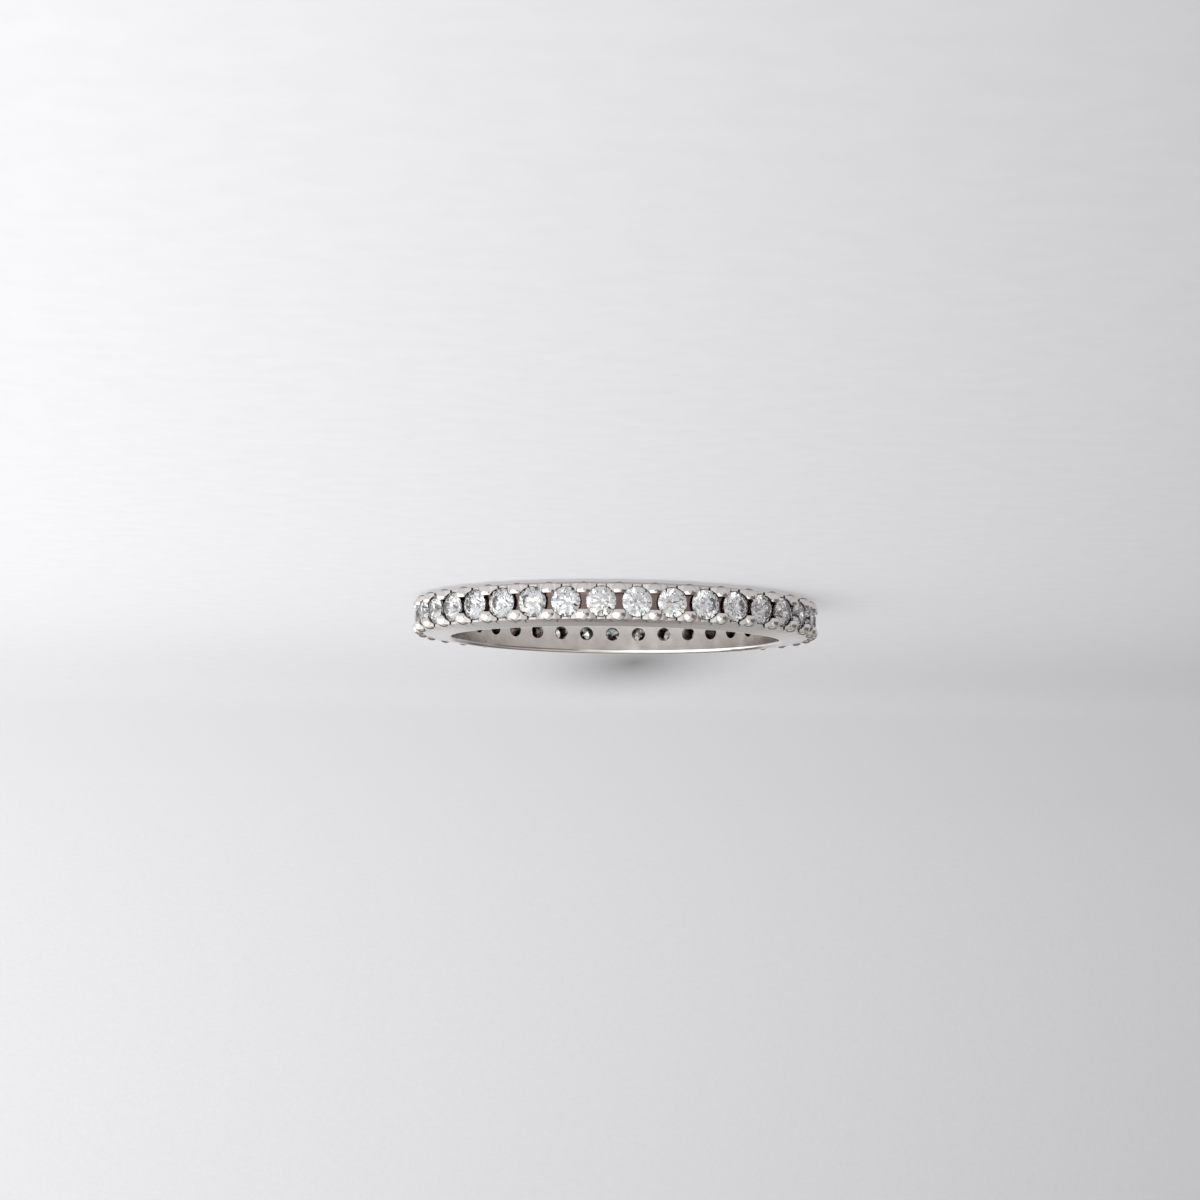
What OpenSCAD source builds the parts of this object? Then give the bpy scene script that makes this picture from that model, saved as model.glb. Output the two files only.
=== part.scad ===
// Full eternity ring: one cast band with shared prongs, and a row of round brilliant-cut stones.
// Millimetres, +Z up. The ring lies on its side: its axis is Z, and the band rests on Z = 0.
// The first stone looks towards -X, and the stones are numbered from there towards -Y.

/* [Finger] */
// Inside diameter of the band
finger_d = 16.9; // [14:0.1:22]

/* [Stones] */
// Diameter of each stone at its girdle
stone_d = 1.45; // [1.2:0.05:2]
// Smallest gap between neighbouring stones, which sets how many go round
stone_gap_min = 0.23; // [0.18:0.01:0.4]
// Width of the table, as a share of the stone's diameter
table_share = 0.56; // [0.5:0.01:0.64]
// Height of the crown, as a share of the stone's diameter
crown_share = 0.15; // [0.12:0.005:0.17]
// Thickness of the girdle, as a share of the stone's diameter
girdle_share = 0.03; // [0.02:0.005:0.05]
// Depth of the pavilion, as a share of the stone's diameter
pavilion_share = 0.43; // [0.4:0.005:0.45]
// How far the star facets reach from the table towards the girdle
star_share = 0.5; // [0.4:0.01:0.6]
// How far the lower halves reach from the girdle towards the culet
lower_half_share = 0.77; // [0.7:0.01:0.85]
// Turn about its own axis from one stone to the next, in degrees
stone_turn = 17; // [0:1:44]

/* [Band] */
// Depth of metal from the bore to the stones' girdles
metal_depth = 1.65; // [1.4:0.05:2.4]
// Width of the band at its inner rims
rim_w = 2.14; // [1.9:0.01:3]
// Radius that rounds the edges of the bore
rim_fillet_r = 0.18; // [0.08:0.01:0.3]
// Width of the flat land on which the ring rests
land_w = 0.12; // [0.08:0.01:0.3]
// Width of the band at the floor of the notches
shoulder_w = 1.9; // [1.8:0.01:2.6]
// Width of the band at the girdles
crest_w = 1.68; // [1.6:0.01:2.4]

/* [Prongs] */
// Width of a prong's post along the row, between the notches
post_w = 0.54; // [0.4:0.01:0.8]
// Width of a prong along the row, under its bead
prong_w = 0.74; // [0.6:0.01:0.9]
// Free width between the two prongs of a pair
prong_gap = 0.8; // [0.6:0.01:1.2]
// Diameter of a bead
bead_d = 0.78; // [0.7:0.01:0.86]
// Distance between the middles of a pair's beads
bead_spacing = 1.12; // [1:0.01:1.4]
// Height of the prongs' flared feet above the girdles
foot_h = 0.17; // [0.06:0.01:0.2]
// Height of the beads above the girdles
prong_h = 0.35; // [0.3:0.01:0.6]
// How far a prong's tip leans over the edge of a stone
prong_grip = 0.05; // [0.02:0.01:0.1]
// Drop of the low web between two stones below the girdles
web_drop = 0.16; // [0.04:0.01:0.25]

/* [Side notches] */
// Depth of the notches beside each post below the girdles
notch_depth = 0.61; // [0.4:0.01:0.9]
// Width of a notch at its floor
notch_w = 0.04; // [0.03:0.005:0.1]
// Further width of a notch at its mouth
notch_flare = 0.02; // [0.02:0.005:0.1]

/* [Seats] */
// Gap between a stone and its seat
seat_clearance = 0.02; // [0.01:0.005:0.04]
// Diameter of the azure hole behind each stone
azure_d = 0.735; // [0.5:0.005:0.9]

/* [Hidden] */
$fn = 48;
eps = 0.01;
bore_r = finger_d / 2;
girdle_r = bore_r + metal_depth;
stone_count = floor(2 * PI * girdle_r / (stone_d + stone_gap_min));
bay = 360 / stone_count;
first_stone = 180;
mid_z = rim_w / 2;

stone_r = stone_d / 2;
table_r = stone_r * table_share;
crown_h = stone_d * crown_share;
girdle_h = stone_d * girdle_share;
pavilion_h = stone_d * pavilion_share;
mains = 8;
half_turn = 360 / mains / 2;

bead_r = bead_d / 2;
bead_axis_r = girdle_r + prong_h - bead_r;
foot_r = girdle_r + foot_h;
notch_r = girdle_r - notch_depth;
lobe_half_w = notch_r * PI / stone_count - post_w / 2 - notch_w;
lobe_r = (pow(lobe_half_w, 2) + pow(notch_depth, 2)) / (2 * notch_depth);
lobe_y = girdle_r - lobe_r;
slit_r = lobe_r + notch_w;
slit_y = lobe_y + notch_flare;
rim_steps = 4;

function stone_name(i) = str("stone_", i < 10 ? "0" : "", i);
function stone_angle(i) = first_stone + (i - 1) * bay;
function prong_angle(i) = stone_angle(i) + bay / 2;

function on_ring(radius, angle, height) = [radius * cos(angle), radius * sin(angle), height];
function ring_of(count, radius, start, height) =
    [for (i = [0:count - 1]) on_ring(radius, start + i * 360 / count, height)];
function arc(centre, radius, from, to, steps) =
    [for (i = [0:steps]) centre + radius * [cos(from + (to - from) * i / steps),
                                            sin(from + (to - from) * i / steps)]];

// Places a shape in a bay: its z axis points out of the ring, its y axis runs along the row
module in_bay(angle, radius) {
    translate([0, 0, mid_z]) rotate([0, 0, angle]) translate([radius, 0, 0]) rotate([0, 90, 0])
        children();
}

// Half of the band's section, from the bore to the outside, as radius and height
upper_section = concat(
    arc([bore_r + rim_fillet_r, rim_w / 2 - rim_fillet_r], rim_fillet_r, 180, 90, rim_steps),
    [[bore_r + rim_fillet_r + land_w, rim_w / 2],
     [notch_r, shoulder_w / 2],
     [girdle_r, crest_w / 2],
     [foot_r, crest_w / 2]]);
lower_section = [for (i = [len(upper_section) - 1:-1:0]) [upper_section[i][0], -upper_section[i][1]]];

module band_blank() {
    translate([0, 0, mid_z]) rotate_extrude() polygon(concat(upper_section, lower_section));
}

// Point on the side of a prong, seen along the ring's axis from the middle of a bay
function prong_side(along) =
    along * [sin(bay / 2), cos(bay / 2)] - prong_w / 2 * [cos(bay / 2), -sin(bay / 2)];
function mirrored(p) = [-p[0], p[1]];

// Opening between two prongs, right across the band: above the girdles its sides are the prongs'
// flared feet, and below them it is a slit round the arched wall under a stone
module window(i) {
    mouth = [sqrt(pow(slit_r, 2) - pow(girdle_r - slit_y, 2)), girdle_r];
    low = prong_side(foot_r);
    high = prong_side(girdle_r + 2 * prong_h);
    translate([0, 0, mid_z]) rotate([0, 0, stone_angle(i) - 90])
        linear_extrude(rim_w + 2 * eps, center = true) difference() {
            union() {
                polygon([mirrored(low), mirrored(mouth), mouth, low, high, mirrored(high)]);
                intersection() {
                    translate([0, slit_y]) circle(slit_r);
                    translate([-lobe_r * 2, notch_r]) square([lobe_r * 4, notch_depth]);
                }
            }
            translate([0, lobe_y]) circle(lobe_r);
        }
}

// Parts the two prongs of every pair, down to the low web between two stones
module web_groove() {
    translate([0, 0, mid_z]) rotate_extrude()
        translate([girdle_r - web_drop, -prong_gap / 2]) square([2 * prong_h, prong_gap]);
}

// What one stone needs: room for its pavilion and girdle, prongs that lean in over its edge, and
// the azure hole behind it
module seat() {
    low = -girdle_h / 2 - seat_clearance;
    high = girdle_h / 2 + seat_clearance;
    room_r = stone_r + seat_clearance;
    hole_r = azure_d / 2;
    hole_top = low - pavilion_h * (1 - hole_r / room_r);
    hole_end = -metal_depth - prong_h;
    rotate_extrude()
        polygon([[0, hole_end], [hole_r, hole_end], [hole_r, hole_top], [room_r, low],
                 [room_r, high], [stone_r - prong_grip, prong_h + eps], [0, prong_h + eps]]);
}

module setting() {
    color("silver")
    difference() {
        union() {
            band_blank();
            for (i = [1:stone_count], side = [-1, 1])
                in_bay(prong_angle(i), bead_axis_r)
                    translate([side * bead_spacing / 2, 0, 0]) sphere(r = bead_r);
        }
        for (i = [1:stone_count]) window(i);
        web_groove();
        for (i = [1:stone_count]) in_bay(stone_angle(i), girdle_r) seat();
    }
}

// Round brilliant: table, 8 stars, 8 kites, 16 upper halves, girdle, 16 lower halves, 8 mains
module brilliant() {
    table_edge = table_r * cos(half_turn);
    star_r = table_edge + star_share * (stone_r - table_edge);
    star_h = crown_h * (stone_r - star_r * cos(half_turn)) / (stone_r - table_r);
    half_r = stone_r * (1 - lower_half_share);
    half_h = pavilion_h * (1 - half_r * cos(half_turn) / stone_r);
    top = girdle_h / 2;
    points = concat(
        ring_of(mains, table_r, 0, top + crown_h),
        ring_of(mains, star_r, half_turn, top + star_h),
        ring_of(2 * mains, stone_r, 0, top),
        ring_of(2 * mains, stone_r, 0, -top),
        ring_of(mains, half_r, half_turn, -top - half_h),
        [[0, 0, -top - pavilion_h]]);
    star = mains;
    upper = 2 * mains;
    lower = 4 * mains;
    half = 6 * mains;
    culet = 7 * mains;
    faces = concat(
        [[for (i = [mains - 1:-1:0]) i]],
        [for (i = [0:mains - 1]) let (n = (i + 1) % mains, p = (i + mains - 1) % mains)
            each [[i, n, star + i],
                  [i, star + i, upper + 2 * i],
                  [i, upper + 2 * i, star + p],
                  [star + i, upper + 2 * i + 1, upper + 2 * i],
                  [star + i, upper + 2 * n, upper + 2 * i + 1],
                  [lower + 2 * i, lower + 2 * i + 1, half + i],
                  [lower + 2 * i + 1, lower + 2 * n, half + i],
                  [lower + 2 * i, half + i, culet],
                  [lower + 2 * i, culet, half + p]]],
        [for (i = [0:2 * mains - 1]) let (n = (i + 1) % (2 * mains))
            each [[upper + i, upper + n, lower + i], [upper + n, lower + n, lower + i]]]);
    polyhedron(points = points, faces = faces);
}

module stone(i) {
    color("aliceblue") in_bay(stone_angle(i), girdle_r) rotate([0, 0, i * stone_turn]) brilliant();
}

setting();
for (i = [1:stone_count])
    stone(i);
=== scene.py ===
import math

import bpy
from mathutils import Matrix, Vector


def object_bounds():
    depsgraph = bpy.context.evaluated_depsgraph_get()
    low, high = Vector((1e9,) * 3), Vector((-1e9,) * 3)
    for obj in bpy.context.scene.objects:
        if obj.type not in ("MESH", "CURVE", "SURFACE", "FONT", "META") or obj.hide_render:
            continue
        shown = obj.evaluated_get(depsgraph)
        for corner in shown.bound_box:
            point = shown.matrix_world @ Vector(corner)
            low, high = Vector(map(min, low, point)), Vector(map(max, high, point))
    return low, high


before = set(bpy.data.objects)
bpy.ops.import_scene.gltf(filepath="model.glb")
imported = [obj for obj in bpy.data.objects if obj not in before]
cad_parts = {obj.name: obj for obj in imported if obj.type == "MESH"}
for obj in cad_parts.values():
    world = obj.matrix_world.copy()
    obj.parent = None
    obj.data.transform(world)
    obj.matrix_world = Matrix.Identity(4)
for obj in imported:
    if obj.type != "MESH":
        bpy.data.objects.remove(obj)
cad_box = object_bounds()

MM = 0.001

# The ring's middle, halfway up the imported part
MID_Z = (cad_box[0][2] + cad_box[1][2]) / 2
CENTRE = Vector((0, 0, MID_Z))

# The view: distance, height and side angle seen from the ring's middle, and how the camera is then
# rolled, and turned and tilted off the ring. Its foot is the point of the paper below it
VIEW_DISTANCE = 124.751 * MM
VIEW_ELEVATION = math.radians(5.185)
VIEW_SIDE = math.radians(3.426)
VIEW_ROLL = math.radians(180.805)
VIEW_TURN = math.radians(0.364)
VIEW_TILT = math.radians(0.485)
VIEW_FOOT = (VIEW_DISTANCE * math.cos(VIEW_ELEVATION) * math.sin(VIEW_SIDE),
             -VIEW_DISTANCE * math.cos(VIEW_ELEVATION) * math.cos(VIEW_SIDE))
LENS_MM = 72.35
SENSOR_MM = 36
CLIP_NEAR = 0.005
CLIP_FAR = 10

# The sweep of paper, in metres: where it starts and starts to curve up, the radius of that bend and
# its number of steps, the paper's top and half its width
PAPER_NEAR = -1.00
PAPER_BEND = 0.45
BEND_R = 0.15
BEND_STEPS = 16
PAPER_TOP = 0.16
PAPER_HALF_W = 0.80

# The paper's tones, and its glow, a painted light, at the left and right of the view, before and behind
# the ring.
# Seen from the view's foot, left and right lie this share of a full circle off the middle, and the
# glow changes from before to behind between two distances. It stays there in other views
PULP_TONES = [(0.35, (0.316, 0.316, 0.324)), (0.65, (0.324, 0.324, 0.332))]
GLOW_BEFORE = (2.05, 1.0)
GLOW_BEHIND = (1.58, 0.67)
GLOW_TURN = 0.039
GLOW_FADE = (0.095, 0.25)

# The soft shade on the paper behind the ring: its middle, its two half sizes and what it leaves
SHADE_PLACE = (-0.0040, 0.044)
SHADE_SIZE = (0.0105, 0.052)
SHADE_LEAVES = 0.36

# The metal: its tones where it is polished and where it is darkened by painted shade with some tarnish,
# and its range of roughness
POLISH_TONES = [(0.3, (0.72, 0.68, 0.645)), (0.7, (0.84, 0.805, 0.775))]
SHADE_AND_TARNISH = (0.23, 0.165, 0.15)
METAL_ROUGHNESS = (0.11, 0.24)
# How far a recess is seen, and how open it is where the painted shade and tarnish end and where polish
# is full
RECESS_REACH = 0.35 * MM
RECESS_OPEN = (0.30, 0.75)
# The low webs between the stones, darkened as painted shade and painted dark reflection with some
# tarnish: below a radius and near the middle of the row, with the width of the change to polish, and
# the radius up to which the bore's wall is polished
WEB_R = 9.98 * MM
WEB_HALF_W = 0.42 * MM
WEB_BLEND = 0.08 * MM
BORE_WALL_R = 8.6 * MM
BORE_BLEND = 0.2 * MM
# How far casting and polishing round the metal's edges
EDGE_R = 0.04 * MM

# The stones' tints: pale blue, clear and pale yellow; the blue and yellow are painted fire, the colours
# a stone splits from light
CLEAR = (0.83, 0.835, 0.845)
STONE_TINTS_AND_FIRE = [(0.30, (0.70, 0.87, 0.92)), (0.40, CLEAR), (0.60, CLEAR), (0.70, (0.95, 0.86, 0.72))]
STONE_IOR = 2.417

# Scale and detail of the noise in the paper, the metal and the stones
PAPER_GRAIN = (900, 6)
METAL_GRAIN = (1400, 4)
STONE_GRAIN = (1500, 2)

# Cards that the ring reflects and the camera doesn't see: name, middle, size and colour
CARD_COLOURS = {"dark_card": (0.02, 0.014, 0.013), "grey_card": (0.20, 0.17, 0.16)}
CARDS = [("camera_card", (0.003, -0.15, 0.015), (0.05, 0.05), "dark_card"),
         ("right_card", (-0.055, -0.03, 0.015), (0.09, 0.05), "grey_card"),
         ("back_card", (0, 0.045, 0.05), (0.12, 0.045), "grey_card")]

# The room's light: its tones from the dim side to the window wall, its strength, and how far the
# window wall is turned from the ring's +X
ROOM_TONES = [(0.05, (0.20, 0.195, 0.19)), (0.5, (0.36, 0.355, 0.35)), (0.92, (1, 1, 1))]
ROOM_STRENGTH = 1.9
WINDOW_TURN = math.radians(30)


def link(obj):
    bpy.context.scene.collection.objects.link(obj)
    return obj


def add_mesh(name, verts, faces, material):
    mesh = bpy.data.meshes.new(name)
    mesh.from_pydata(verts, [], faces)
    mesh.materials.append(material)
    return link(bpy.data.objects.new(name, mesh))


# Camera
def add_camera():
    place = CENTRE + Vector((*VIEW_FOOT, VIEW_DISTANCE * math.sin(VIEW_ELEVATION)))
    aim = (CENTRE - place).to_track_quat("-Z", "Y").to_matrix()
    aim = aim @ Matrix.Rotation(VIEW_ROLL, 3, "Z")
    aim = aim @ Matrix.Rotation(VIEW_TURN, 3, "Y") @ Matrix.Rotation(VIEW_TILT, 3, "X")
    data = bpy.data.cameras.new("camera")
    data.sensor_width = SENSOR_MM
    data.lens = LENS_MM
    data.clip_start = CLIP_NEAR
    data.clip_end = CLIP_FAR
    camera = link(bpy.data.objects.new("camera", data))
    camera.matrix_world = Matrix.Translation(place) @ aim.to_4x4()
    bpy.context.scene.camera = camera


# Shader nodes
def new_material(name):
    material = bpy.data.materials.new(name)
    material.use_nodes = True
    tree = material.node_tree
    return material, tree, tree.nodes["Principled BSDF"]


def add_node(tree, kind, **settings):
    node = tree.nodes.new("ShaderNode" + kind)
    for name, value in settings.items():
        setattr(node, name, value)
    return node


def object_place(tree):
    return add_node(tree, "TexCoord").outputs["Object"]


def moved(tree, place, middle, turn=0, size=(1, 1, 1)):
    """A place as seen from a frame with this middle, turn about Z and size."""
    node = add_node(tree, "Mapping", vector_type="TEXTURE")
    node.inputs["Location"].default_value = middle
    node.inputs["Rotation"].default_value = (0, 0, turn)
    node.inputs["Scale"].default_value = size
    tree.links.new(place, node.inputs["Vector"])
    return node.outputs["Vector"]


def vector_length(tree, vector):
    node = add_node(tree, "VectorMath", operation="LENGTH")
    tree.links.new(vector, node.inputs[0])
    return node.outputs["Value"]


def map_range(tree, value, source, target=(0, 1), way="SMOOTHSTEP"):
    node = add_node(tree, "MapRange", interpolation_type=way)
    node.inputs["From Min"].default_value, node.inputs["From Max"].default_value = source
    node.inputs["To Min"].default_value, node.inputs["To Max"].default_value = target
    tree.links.new(value, node.inputs["Value"])
    return node.outputs["Result"]


def math_node(tree, operation, *values):
    node = add_node(tree, "Math", operation=operation)
    for value, socket in zip(values, node.inputs):
        tree.links.new(value, socket)
    return node.outputs["Value"]


def noise_fac(tree, place, grain):
    noise = add_node(tree, "TexNoise")
    noise.inputs["Scale"].default_value, noise.inputs["Detail"].default_value = grain
    tree.links.new(place, noise.inputs["Vector"])
    return noise.outputs["Fac"]


def gradient_fac(tree, place, kind="LINEAR"):
    gradient = add_node(tree, "TexGradient", gradient_type=kind)
    tree.links.new(place, gradient.inputs["Vector"])
    return gradient.outputs["Fac"]


def colour_ramp(tree, value, stops, way="LINEAR"):
    """Colours along a value, from (position, colour) pairs in rising order."""
    ramp = add_node(tree, "ValToRGB")
    ramp.color_ramp.interpolation = way
    points = ramp.color_ramp.elements
    points[0].position, points[1].position = stops[0][0], stops[-1][0]
    points[0].color, points[1].color = (*stops[0][1], 1), (*stops[-1][1], 1)
    for position, colour in stops[1:-1]:
        points.new(position).color = (*colour, 1)
    tree.links.new(value, ramp.inputs["Fac"])
    return ramp.outputs["Color"]


# Materials
def painted_paper_glow(tree, place):
    """How strongly the paper glows as painted light, by fixed directions and distances from the view's
    foot.
    """
    from_foot = moved(tree, place, (*VIEW_FOOT, 0), math.pi / 2 + VIEW_SIDE)
    across = gradient_fac(tree, from_foot, "RADIAL")
    turn = (0.5 - GLOW_TURN, 0.5 + GLOW_TURN)
    glow = add_node(tree, "Mix")
    tree.links.new(map_range(tree, vector_length(tree, from_foot), GLOW_FADE), glow.inputs["Factor"])
    tree.links.new(map_range(tree, across, turn, GLOW_BEFORE, "LINEAR"), glow.inputs["A"])
    tree.links.new(map_range(tree, across, turn, GLOW_BEHIND, "LINEAR"), glow.inputs["B"])
    return glow.outputs["Result"]


def paper_shade(tree, place):
    """How much of the paper's tone the soft shade leaves."""
    from_shade = moved(tree, place, (*SHADE_PLACE, 0), size=(*SHADE_SIZE, 1))
    spot = gradient_fac(tree, from_shade, "QUADRATIC_SPHERE")
    return map_range(tree, spot, (0, 1), (1, SHADE_LEAVES), "LINEAR")


def paper_material():
    """Pale paper that glows as painted light, brighter to the left of the view and close to the camera,
    with a painted soft shade behind the ring.
    """
    material, tree, shader = new_material("pale_paper")
    place = object_place(tree)
    shaded = add_node(tree, "VectorMath", operation="SCALE")
    tree.links.new(colour_ramp(tree, noise_fac(tree, place, PAPER_GRAIN), PULP_TONES), shaded.inputs[0])
    tree.links.new(paper_shade(tree, place), shaded.inputs["Scale"])
    tree.links.new(shaded.outputs["Vector"], shader.inputs["Base Color"])
    tree.links.new(shaded.outputs["Vector"], shader.inputs["Emission Color"])
    # Painted light: the paper glows, brighter to the left and near the camera, which also lightens the
    # ring's shadow on it
    tree.links.new(painted_paper_glow(tree, place), shader.inputs["Emission Strength"])
    shader.inputs["Roughness"].default_value = 0.9
    shader.inputs["Specular IOR Level"].default_value = 0.2
    return material


def off_webs(tree, place):
    """0 on the low webs between the stones, and 1 on the rest of the metal."""
    parts = add_node(tree, "SeparateXYZ")
    tree.links.new(moved(tree, place, CENTRE), parts.inputs["Vector"])
    flat = add_node(tree, "CombineXYZ")
    tree.links.new(parts.outputs["X"], flat.inputs["X"])
    tree.links.new(parts.outputs["Y"], flat.inputs["Y"])
    radius = vector_length(tree, flat.outputs["Vector"])
    off_middle = math_node(tree, "ABSOLUTE", parts.outputs["Z"])
    above = map_range(tree, radius, (WEB_R, WEB_R + WEB_BLEND))
    beside = map_range(tree, off_middle, (WEB_HALF_W, WEB_HALF_W + 2 * WEB_BLEND))
    bore = map_range(tree, radius, (BORE_WALL_R, BORE_WALL_R + BORE_BLEND), (1, 0))
    return math_node(tree, "MAXIMUM", math_node(tree, "MAXIMUM", above, beside), bore)


def metal_material():
    """Polished white gold: soft edges, fine wear, and painted shade with some tarnish in recesses and
    on the low webs between the stones.
    """
    material, tree, shader = new_material("polished_white_gold")
    place = object_place(tree)
    grain = noise_fac(tree, place, METAL_GRAIN)
    recess = add_node(tree, "AmbientOcclusion", samples=6)
    recess.inputs["Distance"].default_value = RECESS_REACH
    open_space = map_range(tree, recess.outputs["AO"], RECESS_OPEN)

    # Painted shade with some tarnish: recesses and the low webs between the stones are darkened toward
    # a dark tone
    shade_and_tarnish = add_node(tree, "Mix", data_type="RGBA")
    shade_and_tarnish.inputs["A"].default_value = (*SHADE_AND_TARNISH, 1)
    tree.links.new(colour_ramp(tree, grain, POLISH_TONES), shade_and_tarnish.inputs["B"])
    unshaded = math_node(tree, "MULTIPLY", open_space, off_webs(tree, place))
    tree.links.new(unshaded, shade_and_tarnish.inputs["Factor"])
    tree.links.new(shade_and_tarnish.outputs["Result"], shader.inputs["Base Color"])

    roughness = map_range(tree, grain, (0, 1), METAL_ROUGHNESS, "LINEAR")
    tree.links.new(roughness, shader.inputs["Roughness"])
    edge = add_node(tree, "Bevel", samples=4)
    edge.inputs["Radius"].default_value = EDGE_R
    tree.links.new(edge.outputs["Normal"], shader.inputs["Normal"])
    shader.inputs["Metallic"].default_value = 1.0
    return material


def stone_material():
    """Clear stone: faintly grey, with pale blue and pale yellow painted at random as the colours it
    splits from light.
    """
    material, tree, shader = new_material("clear_brilliant")
    # Painted fire: pale blue and pale yellow patches in the tint stand in for the colours the stone
    # splits from light
    tint_and_fire = colour_ramp(tree, noise_fac(tree, object_place(tree), STONE_GRAIN), STONE_TINTS_AND_FIRE)
    tree.links.new(tint_and_fire, shader.inputs["Base Color"])
    shader.inputs["Roughness"].default_value = 0.05
    shader.inputs["IOR"].default_value = STONE_IOR
    shader.inputs["Transmission Weight"].default_value = 1.0
    return material


def card_material(name, colour):
    material, tree, shader = new_material(name)
    shader.inputs["Base Color"].default_value = (*colour, 1)
    shader.inputs["Roughness"].default_value = 0.8
    return material


# Room
def add_paper(material):
    profile = [(PAPER_NEAR, 0.0), (0.0, 0.0), (PAPER_BEND, 0.0)]
    for i in range(1, BEND_STEPS + 1):
        a = math.pi / 2 * i / BEND_STEPS
        profile.append((PAPER_BEND + BEND_R * math.sin(a), BEND_R * (1 - math.cos(a))))
    profile.append((PAPER_BEND + BEND_R, PAPER_TOP))
    verts = [(side * PAPER_HALF_W, y, z) for y, z in profile for side in (1, -1)]
    faces = [(2 * i, 2 * i + 2, 2 * i + 3, 2 * i + 1) for i in range(len(profile) - 1)]
    paper = add_mesh("floor", verts, faces, material)
    paper.data.polygons.foreach_set("use_smooth", [True] * len(faces))


def add_card(name, place, size, material):
    w, h = size[0] / 2, size[1] / 2
    card = add_mesh(name, [(-w, -h, 0), (w, -h, 0), (w, h, 0), (-w, h, 0)], [(0, 1, 2, 3)], material)
    card.location = place
    card.rotation_euler = (CENTRE - Vector(place)).to_track_quat("Z", "Y").to_euler()
    card.visible_camera = False


def add_world():
    """A bright window wall to the front left of the view, and a dimmer room to its right."""
    world = bpy.data.worlds.new("room_light")
    world.use_nodes = True
    tree = world.node_tree
    turn = add_node(tree, "Mapping")
    turn.inputs["Rotation"].default_value = (0, 0, WINDOW_TURN)
    turn.inputs["Scale"].default_value = (0.5, 0.5, 0.5)
    turn.inputs["Location"].default_value = (0.5, 0, 0)
    tree.links.new(add_node(tree, "TexCoord").outputs["Generated"], turn.inputs["Vector"])
    across = gradient_fac(tree, turn.outputs["Vector"])
    background = tree.nodes["Background"]
    tree.links.new(colour_ramp(tree, across, ROOM_TONES, "EASE"), background.inputs["Color"])
    background.inputs["Strength"].default_value = ROOM_STRENGTH
    bpy.context.scene.world = world


add_camera()
add_world()
add_paper(paper_material())
card_looks = {name: card_material(name, colour) for name, colour in CARD_COLOURS.items()}
for name, place, size, colour in CARDS:
    add_card(name, place, size, card_looks[colour])

metal = metal_material()
stone = stone_material()
for name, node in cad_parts.items():
    node.data.materials.clear()
    node.data.materials.append(metal if name == "setting" else stone)

bpy.context.scene.view_settings.view_transform = "Standard"
